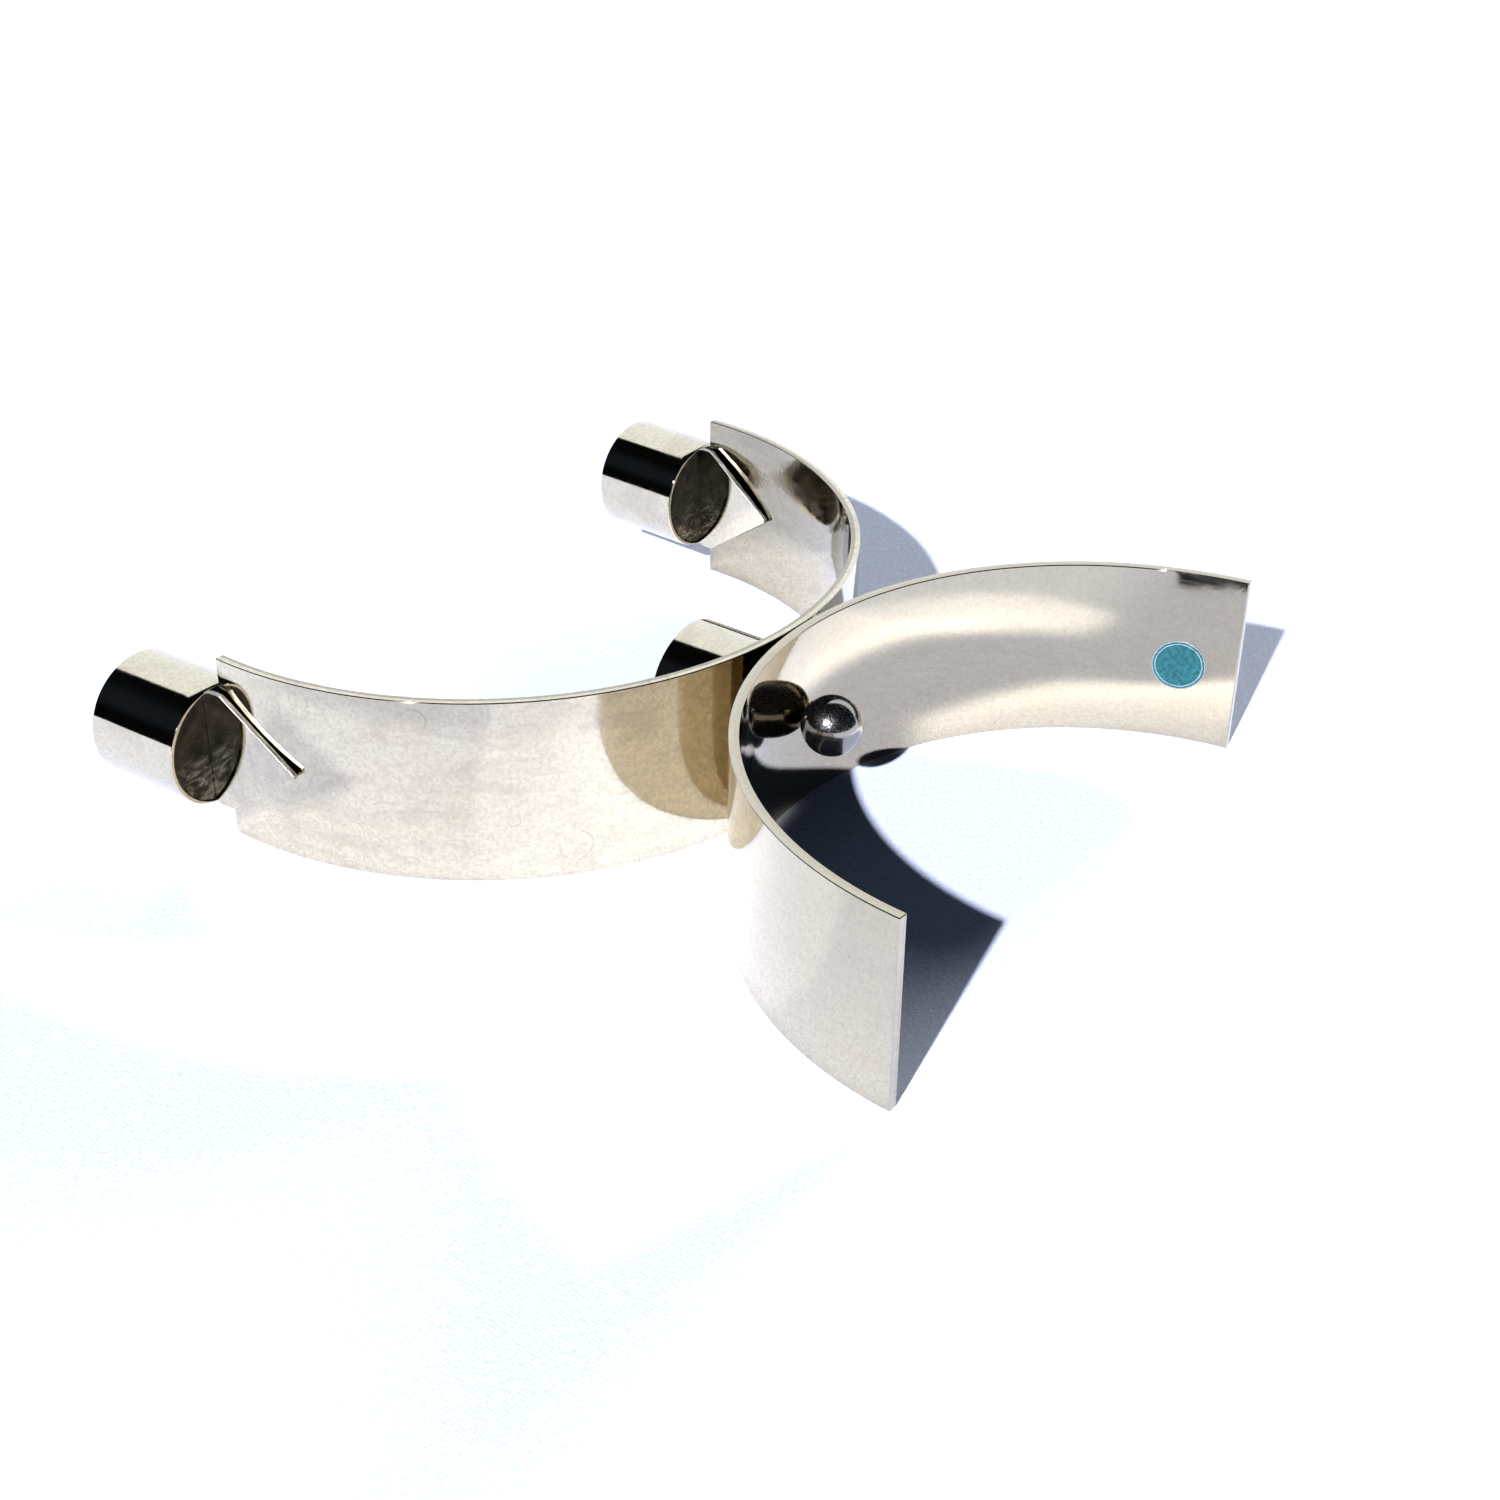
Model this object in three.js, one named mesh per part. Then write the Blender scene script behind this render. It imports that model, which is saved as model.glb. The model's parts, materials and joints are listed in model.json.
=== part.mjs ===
// Magnetic desk sculpture: two polished steel bands, bent to half rings, stand on edge back to back.
// A short cup with a pointed tongue clings to each end of the left band, a third cup clings inside it
// where the bands meet, and a steel ball sits opposite that cup, on the other side of both bands.
//
// Millimetres. The desk is z = 0. The origin is the foot of the left band, in the middle of its
// thickness, where the bands meet. +X points at the right band and +Y away from the near ends.
import * as THREE from 'three';

// ---- driving dimensions ----
const GAP = 0.3; // between pieces that touch
const BAND_HEIGHT = 50;
const BAND_THICKNESS = 2.6;
const BAND_EDGE = 0.25; // eased edges
const LEFT_RADIUS = 98.5; // outer faces
const RIGHT_RADIUS = 93.4;
// the bands' ends, as angles about each band's own centre from +X, in degrees
const LEFT_NEAR_END = -93.2;
const LEFT_FAR_END = 89.5;
const RIGHT_NEAR_END = -93.3;
const RIGHT_FAR_END = 97.6;

const CUP_RADIUS = 16.5;
const CUP_WALL = 1;
const CUP_LENGTH = 28;
const CUP_RIM_EASE = 0.25;
const END_PLATE_RECESS = 0.6;
const END_PLATE_THICKNESS = 1.2;
const MAGNET_RADIUS = 14.5;
const MAGNET_THICKNESS = 6;
const FLOOR_THICKNESS = 0.8;

const TONGUE_LENGTH = 27;
const TONGUE_STRAIGHT = 5; // full height before it tapers
const TONGUE_HALF_HEIGHT = 16.2;
const TONGUE_THICKNESS = 1.4;
const NEAR_TONGUE_SETBACK = 2.1; // from the cup's axis to the tongue's back face, at its root
const FAR_TONGUE_SETBACK = 0.7;
const NEAR_TONGUE_LEAN = 2.3; // from the cup's heading to the tongue's, in degrees
const FAR_TONGUE_LEAN = -3;

const NEAR_CUP_HEADING = 181.5; // the way each cup's mouth points, in degrees from +X
const FAR_CUP_HEADING = 176.5;
const CENTRE_CUP_HEADING = 178.5;
const NEAR_CUP_REACH = 10.8; // from the left band's centre to the cup's base, along its heading
const FAR_CUP_REACH = 7.6;

const BALL_RADIUS = 8;
const STICKER_RADIUS = 7.2;
const STICKER_THICKNESS = 0.25;
const STICKER_GAP = 0.1;
const STICKER_ANGLE = 107.5; // about the right band's centre
const STICKER_HEIGHT = 22.5;

const BAND_STEPS = 32;
const ROUND_STEPS = 48;

// ---- places worked out from them ----
const MID_HEIGHT = BAND_HEIGHT / 2;
const LEFT_INNER = LEFT_RADIUS - BAND_THICKNESS;
const RIGHT_INNER = RIGHT_RADIUS - BAND_THICKNESS;
const LEFT_CENTRE = new THREE.Vector3(BAND_THICKNESS / 2 - LEFT_RADIUS, 0, MID_HEIGHT);
const RIGHT_CENTRE = new THREE.Vector3(BAND_THICKNESS / 2 + GAP + RIGHT_RADIUS, 0, MID_HEIGHT);

const polished = { color: 0xc9c5bd, roughness: 0.08, metalness: 1 };
const darkSteel = { color: 0x3a332a, roughness: 0.35, metalness: 1 };
const ferrite = { color: 0x2b2b2d, roughness: 0.7, metalness: 0.1 };
const label = { color: 0x3f8f9f, roughness: 0.55, metalness: 0 };

const object = new THREE.Group();

function addMesh(parent, name, geometry, finish) {
  const mesh = new THREE.Mesh(geometry, new THREE.MeshStandardMaterial(finish));
  mesh.name = name;
  parent.add(mesh);
  return mesh;
}

// A solid of revolution about +Z from [radius, z] points.
function turned(profile, steps = ROUND_STEPS) {
  const points = profile.map(([radius, z]) => new THREE.Vector2(radius, z));
  return new THREE.LatheGeometry(points, steps).rotateX(Math.PI / 2);
}

// A plain disc about +Z, from z = low to z = high.
function disc(radius, low, high) {
  return turned([[0, low], [radius, low], [radius, high], [0, high]]);
}

// ---- bands ----
function bandGeometry(outerRadius, startDegrees, endDegrees) {
  const start = THREE.MathUtils.degToRad(startDegrees);
  const end = THREE.MathUtils.degToRad(endDegrees);
  const outline = new THREE.Shape();
  outline.absarc(0, 0, outerRadius, start, end, false);
  outline.absarc(0, 0, outerRadius - BAND_THICKNESS, end, start, true);
  return new THREE.ExtrudeGeometry(outline, {
    depth: BAND_HEIGHT - 2 * BAND_EDGE,
    curveSegments: BAND_STEPS,
    bevelThickness: BAND_EDGE,
    bevelSize: BAND_EDGE,
    bevelOffset: -BAND_EDGE,
    bevelSegments: 1,
  }).translate(0, 0, BAND_EDGE);
}

function addBands() {
  const left = addMesh(object, 'left_band', bandGeometry(LEFT_RADIUS, LEFT_NEAR_END, LEFT_FAR_END), polished);
  left.position.set(LEFT_CENTRE.x, 0, 0);
  const rightArc = bandGeometry(RIGHT_RADIUS, RIGHT_FAR_END, RIGHT_NEAR_END + 360);
  const right = addMesh(object, 'right_band', rightArc, polished);
  right.position.set(RIGHT_CENTRE.x, 0, 0);
}

// ---- cups ----
// A cup's own frame: +Z from its closed base to its mouth, +X towards the face its tongue shows.
function tongueGeometry() {
  const root = -GAP;
  const outline = new THREE.Shape();
  outline.moveTo(root, -TONGUE_HALF_HEIGHT);
  outline.lineTo(root, TONGUE_HALF_HEIGHT);
  outline.lineTo(-TONGUE_STRAIGHT, TONGUE_HALF_HEIGHT);
  outline.lineTo(-TONGUE_LENGTH, 0);
  outline.lineTo(-TONGUE_STRAIGHT, -TONGUE_HALF_HEIGHT);
  outline.closePath();
  const plate = new THREE.ExtrudeGeometry(outline, { depth: TONGUE_THICKNESS, bevelEnabled: false });
  // drawn in x (along the cup) and y (up), then turned so that its thickness lies along +X from x = 0
  return plate.rotateY(-Math.PI / 2).translate(TONGUE_THICKNESS, 0, 0);
}

function addCup(name, base, headingDegrees, tongue) {
  const heading = THREE.MathUtils.degToRad(headingDegrees);
  const outward = new THREE.Vector3(Math.cos(heading), Math.sin(heading), 0);
  const up = new THREE.Vector3(0, 0, 1);
  const front = new THREE.Vector3().crossVectors(up, outward);
  const cup = new THREE.Group();
  cup.quaternion.setFromRotationMatrix(new THREE.Matrix4().makeBasis(front, up, outward));
  cup.position.copy(base);
  object.add(cup);

  const inner = CUP_RADIUS - CUP_WALL;
  const wall = turned([
    [inner, 0],
    [CUP_RADIUS - CUP_RIM_EASE, 0],
    [CUP_RADIUS, CUP_RIM_EASE],
    [CUP_RADIUS, CUP_LENGTH - CUP_RIM_EASE],
    [CUP_RADIUS - CUP_RIM_EASE, CUP_LENGTH],
    [inner, CUP_LENGTH],
    [inner, 0],
  ]);
  addMesh(cup, `${name}_tube`, wall, polished);

  const plateTop = END_PLATE_RECESS + END_PLATE_THICKNESS;
  addMesh(cup, `${name}_end_plate`, disc(inner - GAP, END_PLATE_RECESS, plateTop), darkSteel);
  const magnetTop = plateTop + GAP + MAGNET_THICKNESS;
  addMesh(cup, `${name}_magnet`, disc(MAGNET_RADIUS, plateTop + GAP, magnetTop), ferrite);
  const floorTop = magnetTop + GAP + FLOOR_THICKNESS;
  addMesh(cup, `${name}_floor`, disc(inner - GAP, magnetTop + GAP, floorTop), darkSteel);
  if (tongue) {
    const plate = addMesh(cup, `${name}_tongue`, tongueGeometry(), polished);
    plate.position.x = tongue.setback;
    plate.rotation.y = THREE.MathUtils.degToRad(tongue.lean);
  }
}

// Where an end cup's base stands, `reach` from the left band's centre along the cup's heading and
// `across` from it towards the cup's front.
function endCupBase(headingDegrees, reach, across) {
  const heading = THREE.MathUtils.degToRad(headingDegrees);
  const outward = new THREE.Vector3(Math.cos(heading), Math.sin(heading), 0);
  const front = new THREE.Vector3(-outward.y, outward.x, 0);
  return LEFT_CENTRE.clone().addScaledVector(outward, reach).addScaledVector(front, across);
}

function addCups() {
  // near cup: the tongue lies against the band's round outer face, and is tangent to it
  const nearLean = THREE.MathUtils.degToRad(NEAR_TONGUE_LEAN);
  const tangent = LEFT_RADIUS + GAP + NEAR_CUP_REACH * Math.sin(nearLean);
  const nearAcross = tangent / Math.cos(nearLean) - NEAR_TONGUE_SETBACK;
  const nearBase = endCupBase(NEAR_CUP_HEADING, NEAR_CUP_REACH, nearAcross);
  addCup('near_cup', nearBase, NEAR_CUP_HEADING, { setback: NEAR_TONGUE_SETBACK, lean: NEAR_TONGUE_LEAN });

  // far cup: the tongue lies inside the band, and its tip meets the hollow face first
  const farLean = THREE.MathUtils.degToRad(FAR_TONGUE_LEAN);
  const tipAlong = FAR_CUP_REACH - TONGUE_LENGTH * Math.cos(farLean);
  const tipAhead = FAR_TONGUE_SETBACK - TONGUE_LENGTH * Math.sin(farLean);
  const hollow = Math.sqrt((LEFT_INNER - GAP) ** 2 - tipAlong ** 2);
  const farBase = endCupBase(FAR_CUP_HEADING, FAR_CUP_REACH, -hollow - tipAhead);
  addCup('far_cup', farBase, FAR_CUP_HEADING, { setback: FAR_TONGUE_SETBACK, lean: FAR_TONGUE_LEAN });

  // centre cup: it points at the band's centre, and its round base spans the hollow face
  const spannedFace = Math.sqrt(LEFT_INNER ** 2 - CUP_RADIUS ** 2);
  const heading = THREE.MathUtils.degToRad(CENTRE_CUP_HEADING);
  const inward = new THREE.Vector3(Math.cos(heading), Math.sin(heading), 0);
  const centreBase = LEFT_CENTRE.clone().addScaledVector(inward, GAP - spannedFace);
  addCup('centre_cup', centreBase, CENTRE_CUP_HEADING, null);
}

// ---- ball and sticker ----
function addBall() {
  const ball = addMesh(object, 'steel_ball', new THREE.SphereGeometry(BALL_RADIUS, 32, 20), polished);
  ball.position.set(RIGHT_CENTRE.x - RIGHT_INNER + GAP + BALL_RADIUS, 0, MID_HEIGHT);
}

// A thin disc whose flat side is wrapped on the inside of a cylinder about +Z.
function stickerGeometry() {
  const rings = 4;
  const profile = [];
  for (let i = 0; i <= rings; i += 1) profile.push([(STICKER_RADIUS * i) / rings, 0]);
  for (let i = rings; i >= 0; i -= 1) profile.push([(STICKER_RADIUS * i) / rings, STICKER_THICKNESS]);
  const geometry = turned(profile, 32);
  const position = geometry.attributes.position;
  const wallRadius = RIGHT_INNER - STICKER_GAP;
  const middle = THREE.MathUtils.degToRad(STICKER_ANGLE);
  for (let i = 0; i < position.count; i += 1) {
    const angle = middle - position.getX(i) / wallRadius;
    const radius = wallRadius - position.getZ(i);
    position.setXYZ(i, radius * Math.cos(angle), radius * Math.sin(angle), position.getY(i));
  }
  geometry.computeVertexNormals();
  return geometry;
}

function addSticker() {
  const sticker = addMesh(object, 'round_sticker', stickerGeometry(), label);
  sticker.position.set(RIGHT_CENTRE.x, 0, STICKER_HEIGHT);
}

addBands();
addCups();
addBall();
addSticker();

export default object;
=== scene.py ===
"""Magnetic desk sculpture: two bent steel bands that meet at one line, three steel cups and a ball.
Everything is in metres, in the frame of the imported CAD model."""

import json
import math

import bpy
import numpy as np
from mathutils import Matrix, Vector, noise
from mathutils.bvhtree import BVHTree

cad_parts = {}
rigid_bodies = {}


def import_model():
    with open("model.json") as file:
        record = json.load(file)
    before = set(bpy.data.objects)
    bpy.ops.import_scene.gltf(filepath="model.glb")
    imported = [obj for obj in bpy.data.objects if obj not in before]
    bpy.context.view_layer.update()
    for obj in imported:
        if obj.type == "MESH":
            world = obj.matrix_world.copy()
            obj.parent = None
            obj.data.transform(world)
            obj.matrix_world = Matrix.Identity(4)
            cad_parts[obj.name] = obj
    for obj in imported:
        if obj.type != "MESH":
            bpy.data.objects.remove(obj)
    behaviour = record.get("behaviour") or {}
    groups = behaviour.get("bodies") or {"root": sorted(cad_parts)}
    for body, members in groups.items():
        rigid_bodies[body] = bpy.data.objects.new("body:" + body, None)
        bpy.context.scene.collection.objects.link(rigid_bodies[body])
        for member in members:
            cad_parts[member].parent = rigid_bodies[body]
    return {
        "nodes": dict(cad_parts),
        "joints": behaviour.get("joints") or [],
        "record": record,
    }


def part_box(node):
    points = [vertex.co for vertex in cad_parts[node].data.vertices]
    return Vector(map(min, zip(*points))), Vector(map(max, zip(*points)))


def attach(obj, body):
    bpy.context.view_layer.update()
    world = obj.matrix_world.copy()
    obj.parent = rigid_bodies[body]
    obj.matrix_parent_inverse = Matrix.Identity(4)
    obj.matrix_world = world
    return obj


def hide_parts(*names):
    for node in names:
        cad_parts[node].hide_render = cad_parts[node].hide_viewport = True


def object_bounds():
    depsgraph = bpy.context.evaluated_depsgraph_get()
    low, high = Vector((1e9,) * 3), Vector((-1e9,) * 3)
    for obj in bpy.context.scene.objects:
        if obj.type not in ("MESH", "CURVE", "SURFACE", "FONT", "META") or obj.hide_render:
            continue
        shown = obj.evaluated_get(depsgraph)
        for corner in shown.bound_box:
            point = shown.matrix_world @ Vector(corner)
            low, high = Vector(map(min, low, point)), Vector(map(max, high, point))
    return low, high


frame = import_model()
cad_low, cad_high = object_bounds()
record = frame["record"]
MOUNTS = {m["name"]: m for m in record["mounts"]}
JOINTS = {j["name"]: j for j in frame["joints"]}

# ---------------------------------------------------------------- sizes, as in the CAD source
MM = 0.001
BAND_HEIGHT = 50 * MM
BAND_THICKNESS = 2.6 * MM
LEFT_RADIUS = 98.5 * MM
RIGHT_RADIUS = 93.4 * MM
LEFT_ENDS = (-93.2, 89.5)
RIGHT_ENDS = (97.6, 266.7)
CUP_RADIUS = 16.5 * MM
CUP_WALL = 1.0 * MM
CUP_LENGTH = 28 * MM
PLATE_RECESS = 0.6 * MM
PLATE_BACK = 1.8 * MM
FLOOR_BOTTOM = 8.4 * MM
FLOOR_TOP = 9.2 * MM
DISC_RADIUS = 15.44 * MM
DISC_EDGE = 0.15 * MM
TONGUE_LENGTH = 27 * MM
TONGUE_STRAIGHT = 5 * MM
TONGUE_HALF_HEIGHT = 16.2 * MM
TONGUE_THICKNESS = 1.4 * MM
TONGUE_EDGE = 0.22 * MM
# where a tongue is welded to the tube's rim, in degrees from the cup's front, and how the rim's corner is
# ground back there: over how many degrees each way, how far in and how deep
WELD_ANGLES = (80.6, -80.6)
GROUND_SPREAD = 34
GROUND_IN = 0.6 * MM
GROUND_DEEP = 5.2 * MM
# from the cup's axis to the tongue's back face, and the tongue's turn from the cup's heading
TONGUES = {"near_cup": (2.1 * MM, math.radians(2.3)), "far_cup": (0.7 * MM, math.radians(-3))}
BALL_RADIUS = 8 * MM
STICKER_RADIUS = 7.2 * MM
STICKER_THICKNESS = 0.25 * MM
STICKER_ANGLE = 107.5
STICKER_HEIGHT = 22.5 * MM

# ---------------------------------------------------------------- camera
CAMERA_PLACE = (0.2680, -0.4013, 0.2989)
CAMERA_TURN = math.radians(-34.98)
CAMERA_PITCH = math.radians(30.64)
CAMERA_ROLL = math.radians(0.72)
CAMERA_LENS = 51.8


def make_camera():
    ct, st = math.cos(CAMERA_TURN), math.sin(CAMERA_TURN)
    forward = Vector((st * math.cos(CAMERA_PITCH), ct * math.cos(CAMERA_PITCH), -math.sin(CAMERA_PITCH)))
    right = Vector((ct, -st, 0))
    up = right.cross(forward)
    cr, sr = math.cos(CAMERA_ROLL), math.sin(CAMERA_ROLL)
    x, y = right * cr + up * sr, up * cr - right * sr
    data = bpy.data.cameras.new("camera")
    data.lens, data.sensor_width = CAMERA_LENS, 36
    data.clip_start, data.clip_end = 0.01, 50
    camera = bpy.data.objects.new("camera", data)
    turn = Matrix((x, y, -forward)).transposed().to_4x4()
    camera.matrix_world = Matrix.Translation(CAMERA_PLACE) @ turn
    bpy.context.scene.collection.objects.link(camera)
    bpy.context.scene.camera = camera


make_camera()


# ---------------------------------------------------------------- mesh helpers
def add_mesh(name, points, normals, faces, surface, body, stands_for, along=None):
    """A smooth closed mesh with exact normals. along is a point attribute for the materials."""
    mesh = bpy.data.meshes.new(name)
    mesh.from_pydata([tuple(p) for p in points], [], faces)
    mesh.update()
    mesh.polygons.foreach_set("use_smooth", [True] * len(mesh.polygons))
    mesh.normals_split_custom_set_from_vertices([tuple(n) for n in normals])
    if along is not None:
        layer = mesh.attributes.new("along", "FLOAT_VECTOR", "POINT")
        layer.data.foreach_set("vector", [c for a in along for c in a])
    piece = bpy.data.objects.new(name, mesh)
    bpy.context.scene.collection.objects.link(piece)
    mesh.materials.append(surface)
    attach(piece, body)
    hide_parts(*stands_for)
    return piece


def corner_ring(width, height, edge, reach, steps=4):
    """A rectangle's outline with its corners rounded: (x, y, normal x, normal y), anticlockwise.
    reach is how far the outline stands off the inner rectangle, up to edge."""
    ring = []
    for k, (sx, sy) in enumerate(((1, -1), (1, 1), (-1, 1), (-1, -1))):
        cx, cy = sx * (width / 2 - edge), sy * (height / 2 - edge)
        for i in range(steps + 1):
            a = math.radians(-90 + 90 * k + 90 * i / steps)
            ring.append((cx + reach * math.cos(a), cy + reach * math.sin(a), math.cos(a), math.sin(a)))
    return ring


def smooth_step(value, low, high):
    """0 up to low, 1 from high, and an even S between them."""
    share = min(1.0, max(0.0, (value - low) / (high - low)))
    return share * share * (3 - 2 * share)


def far_end_set(distance):
    """The slight set of the strip's hollow face near its first end, where bending rolls leave it a little
    straight: its turn about z and its lean, at a distance from that end. Only the normals carry it, and
    the points stay on a true upright arc."""
    turn, lean = math.radians(-5.2), math.radians(0.75)
    crest = 17.5 * MM
    hump = smooth_step(distance, 0, crest) * (1 - smooth_step(distance, crest, 48 * MM))
    return turn * hump, lean * (1 - smooth_step(distance, 25 * MM, 60 * MM))


def band(name, centre, radius, ends, surface, body, end_set=None, steps=300, edge=0.32 * MM):
    """A flat strip bent to an arc, standing on its edge, with all its edges eased."""
    middle = radius - BAND_THICKNESS / 2
    a0, a1 = (math.radians(e) for e in ends)
    ease = edge / middle
    stations = [(a0 + ease * (1 - math.sin(t)), math.cos(t), -math.sin(t))
                for t in (math.radians(90 - 22.5 * i) for i in range(5))][1:]
    stations += [(a0 + ease + (a1 - a0 - 2 * ease) * i / steps, 1, 0) for i in range(1, steps)]
    stations += [(a1 - ease * (1 - math.sin(t)), math.cos(t), math.sin(t))
                 for t in (math.radians(22.5 * i) for i in range(5))][:-1]
    points, normals, along, faces = [], [], [], []

    def put(angle, x, y, nx, ny, share, lengthwise):
        out = Vector((math.cos(angle), math.sin(angle), 0))
        ahead = Vector((-out.y, out.x, 0))
        r = middle + x
        points.append(Vector((centre[0], centre[1], BAND_HEIGHT / 2)) + out * r + Vector((0, 0, y)))
        normal = (out * nx + Vector((0, 0, ny))) * share + ahead * lengthwise
        if end_set and nx < 0:
            turn, lean = end_set((angle - a0) * middle)
            normal.rotate(Matrix.Rotation(turn * -nx, 3, "Z"))
            normal.z += math.sin(lean) * -nx
        normals.append(normal)
        along.append((angle * middle, x, y))

    count = 0
    for angle, share, lengthwise in stations:
        ring = corner_ring(BAND_THICKNESS, BAND_HEIGHT, edge, edge * share)
        count = len(ring)
        for x, y, nx, ny in ring:
            put(angle, x, y, nx, ny, share, lengthwise)
    for s in range(len(stations) - 1):
        for i in range(count):
            j = (i + 1) % count
            faces.append((s * count + j, s * count + i, (s + 1) * count + i, (s + 1) * count + j))
    for first, angle, lengthwise in ((0, a0, -1), ((len(stations) - 1) * count, a1, 1)):
        cap = len(points)
        per = count // 4
        for k in range(4):
            x, y = corner_ring(BAND_THICKNESS, BAND_HEIGHT, edge, 0)[k * per][:2]
            put(angle, x, y, 0, 0, 0, lengthwise)
        loops = []
        for k in range(4):
            for i in range(per - 1):
                loops.append((first + k * per + i, first + k * per + i + 1, cap + k))
            n = (k + 1) % 4
            loops.append((first + k * per + per - 1, first + n * per, cap + n, cap + k))
        loops.append((cap, cap + 1, cap + 2, cap + 3))
        faces += [f if lengthwise < 0 else tuple(reversed(f)) for f in loops]
    return add_mesh(name, points, normals, faces, surface, body, [name], along)


def lathe(profile, columns, closed):
    """Turns profile(angle), a list of (radius, z, normal radius, normal z), about local z.
    A closed profile is a ring's section; an open one starts and ends on the axis. The outline may
    change with the angle. Gives points, normals and faces."""
    rows = len(profile(0.0))
    points, normals, faces = [], [], []
    for c in range(columns):
        a = 2 * math.pi * c / columns
        here, before, after = (profile(a + d) for d in (0, -0.01, 0.01))
        out, ahead = Vector((math.cos(a), math.sin(a), 0)), Vector((-math.sin(a), math.cos(a), 0))
        for k in range(rows):
            r, z, nr, nz = here[k]
            if not closed and k in (0, rows - 1):
                continue
            dr, dz = (after[k][0] - before[k][0]) / 0.02, (after[k][1] - before[k][1]) / 0.02
            across = out * -nz + Vector((0, 0, nr))
            round_about = ahead * r + out * dr + Vector((0, 0, dz))
            points.append(out * r + Vector((0, 0, z)))
            normals.append(round_about.cross(across).normalized())
    inner = rows if closed else rows - 2
    for c in range(columns):
        n = (c + 1) % columns
        for k in range(rows if closed else inner - 1):
            m = (k + 1) % inner
            faces.append((c * inner + k, n * inner + k, n * inner + m, c * inner + m))
    if not closed:
        first, last = profile(0.0)[0], profile(0.0)[-1]
        start, end = len(points), len(points) + 1
        points += [Vector((0, 0, first[1])), Vector((0, 0, last[1]))]
        normals += [Vector((0, 0, first[3])), Vector((0, 0, last[3]))]
        for c in range(columns):
            n = (c + 1) % columns
            faces.append((start, n * inner, c * inner))
            faces.append((end, c * inner + inner - 1, n * inner + inner - 1))
    return points, normals, faces


def quarter(radius, z, start, rise, depth, steps=5):
    """A quarter round of an outline about (radius, z), rise wide and depth deep, from angle start."""
    arc = []
    for i in range(steps + 1):
        a = math.radians(start + 90 * i / steps)
        n = Vector((math.cos(a) / rise, math.sin(a) / depth)).normalized()
        arc.append((radius + rise * math.cos(a), z + depth * math.sin(a), n.x, n.y))
    return arc


def plate_profile(radius, low, high, edge, rings=6):
    """A flat disc's outline from the axis below to the axis above."""
    flat = [radius * k / rings for k in range(1, rings)]
    return ([(0, low, 0, -1)] + [(r, low, 0, -1) for r in flat]
            + quarter(radius - edge, low + edge, -90, edge, edge)
            + quarter(radius - edge, high - edge, 0, edge, edge)
            + [(r, high, 0, 1) for r in reversed(flat)] + [(0, high, 0, 1)])


# ---------------------------------------------------------------- cups
def cup_frame(cup):
    """The cup's own axes: x to its front, y up, z from its base to its mouth."""
    seat = MOUNTS[cup + "_seat"]
    u = Vector(seat["axis"]).normalized()
    base = Vector(seat["pos_m"]) - u * FLOOR_TOP
    front = Vector((-u.y, u.x, 0))
    return Matrix.Translation(base) @ Matrix((front, Vector((0, 0, 1)), u)).transposed().to_4x4()


def placed(matrix, points, normals):
    turn = matrix.to_3x3()
    return [matrix @ p for p in points], [turn @ n for n in normals]


def tube_profile(angle, dressed):
    """The tube's wall. Where the tongue is welded to the rim the corner is ground back (dressed)."""
    ease = 0.25 * MM
    back = 0.0
    if dressed:
        for at in WELD_ANGLES:
            off = (math.degrees(angle) - at + 180) % 360 - 180
            near = math.radians(90 * min(1, abs(off) / GROUND_SPREAD))
            back = max(back, max(0.0, math.cos(near)) ** 2)
    rise, depth = ease + GROUND_IN * back, ease + GROUND_DEEP * back
    inner = CUP_RADIUS - CUP_WALL
    small = 0.15 * MM
    wall = [depth + (CUP_LENGTH - ease - depth) * k / 6 for k in range(1, 6)]
    bore = [small + (CUP_LENGTH - 2 * small) * k / 6 for k in range(5, 0, -1)]
    return (quarter(CUP_RADIUS - rise, depth, -90, rise, depth, 10)
            + [(CUP_RADIUS, z, 1, 0) for z in wall]
            + quarter(CUP_RADIUS - ease, CUP_LENGTH - ease, 0, ease, ease)
            + quarter(inner + ease, CUP_LENGTH - ease, 90, ease, ease)
            + [(inner, z, -1, 0) for z in bore]
            + quarter(inner + small, small, 180, small, small))


def add_tube(cup, dressed, surface):
    points, normals, faces = lathe(lambda a: tube_profile(a, dressed), 192, True)
    along = [(p.z, math.atan2(p.y, p.x) * CUP_RADIUS, p.xy.length) for p in points]
    points, normals = placed(cup_frame(cup), points, normals)
    name = cup + "_tube"
    return add_mesh(name + "_smooth", points, normals, faces, surface, cup, [name], along)


def add_disc(cup, part, low, high, surface):
    """A flat disc inside the tube: the end plate or the floor over the magnet."""
    points, normals, faces = lathe(lambda a: plate_profile(DISC_RADIUS, low, high, DISC_EDGE), 128, False)
    along = [tuple(p) for p in points]
    points, normals = placed(cup_frame(cup), points, normals)
    name = cup + part
    return add_mesh(name + "_smooth", points, normals, faces, surface, cup, [name], along)


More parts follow.
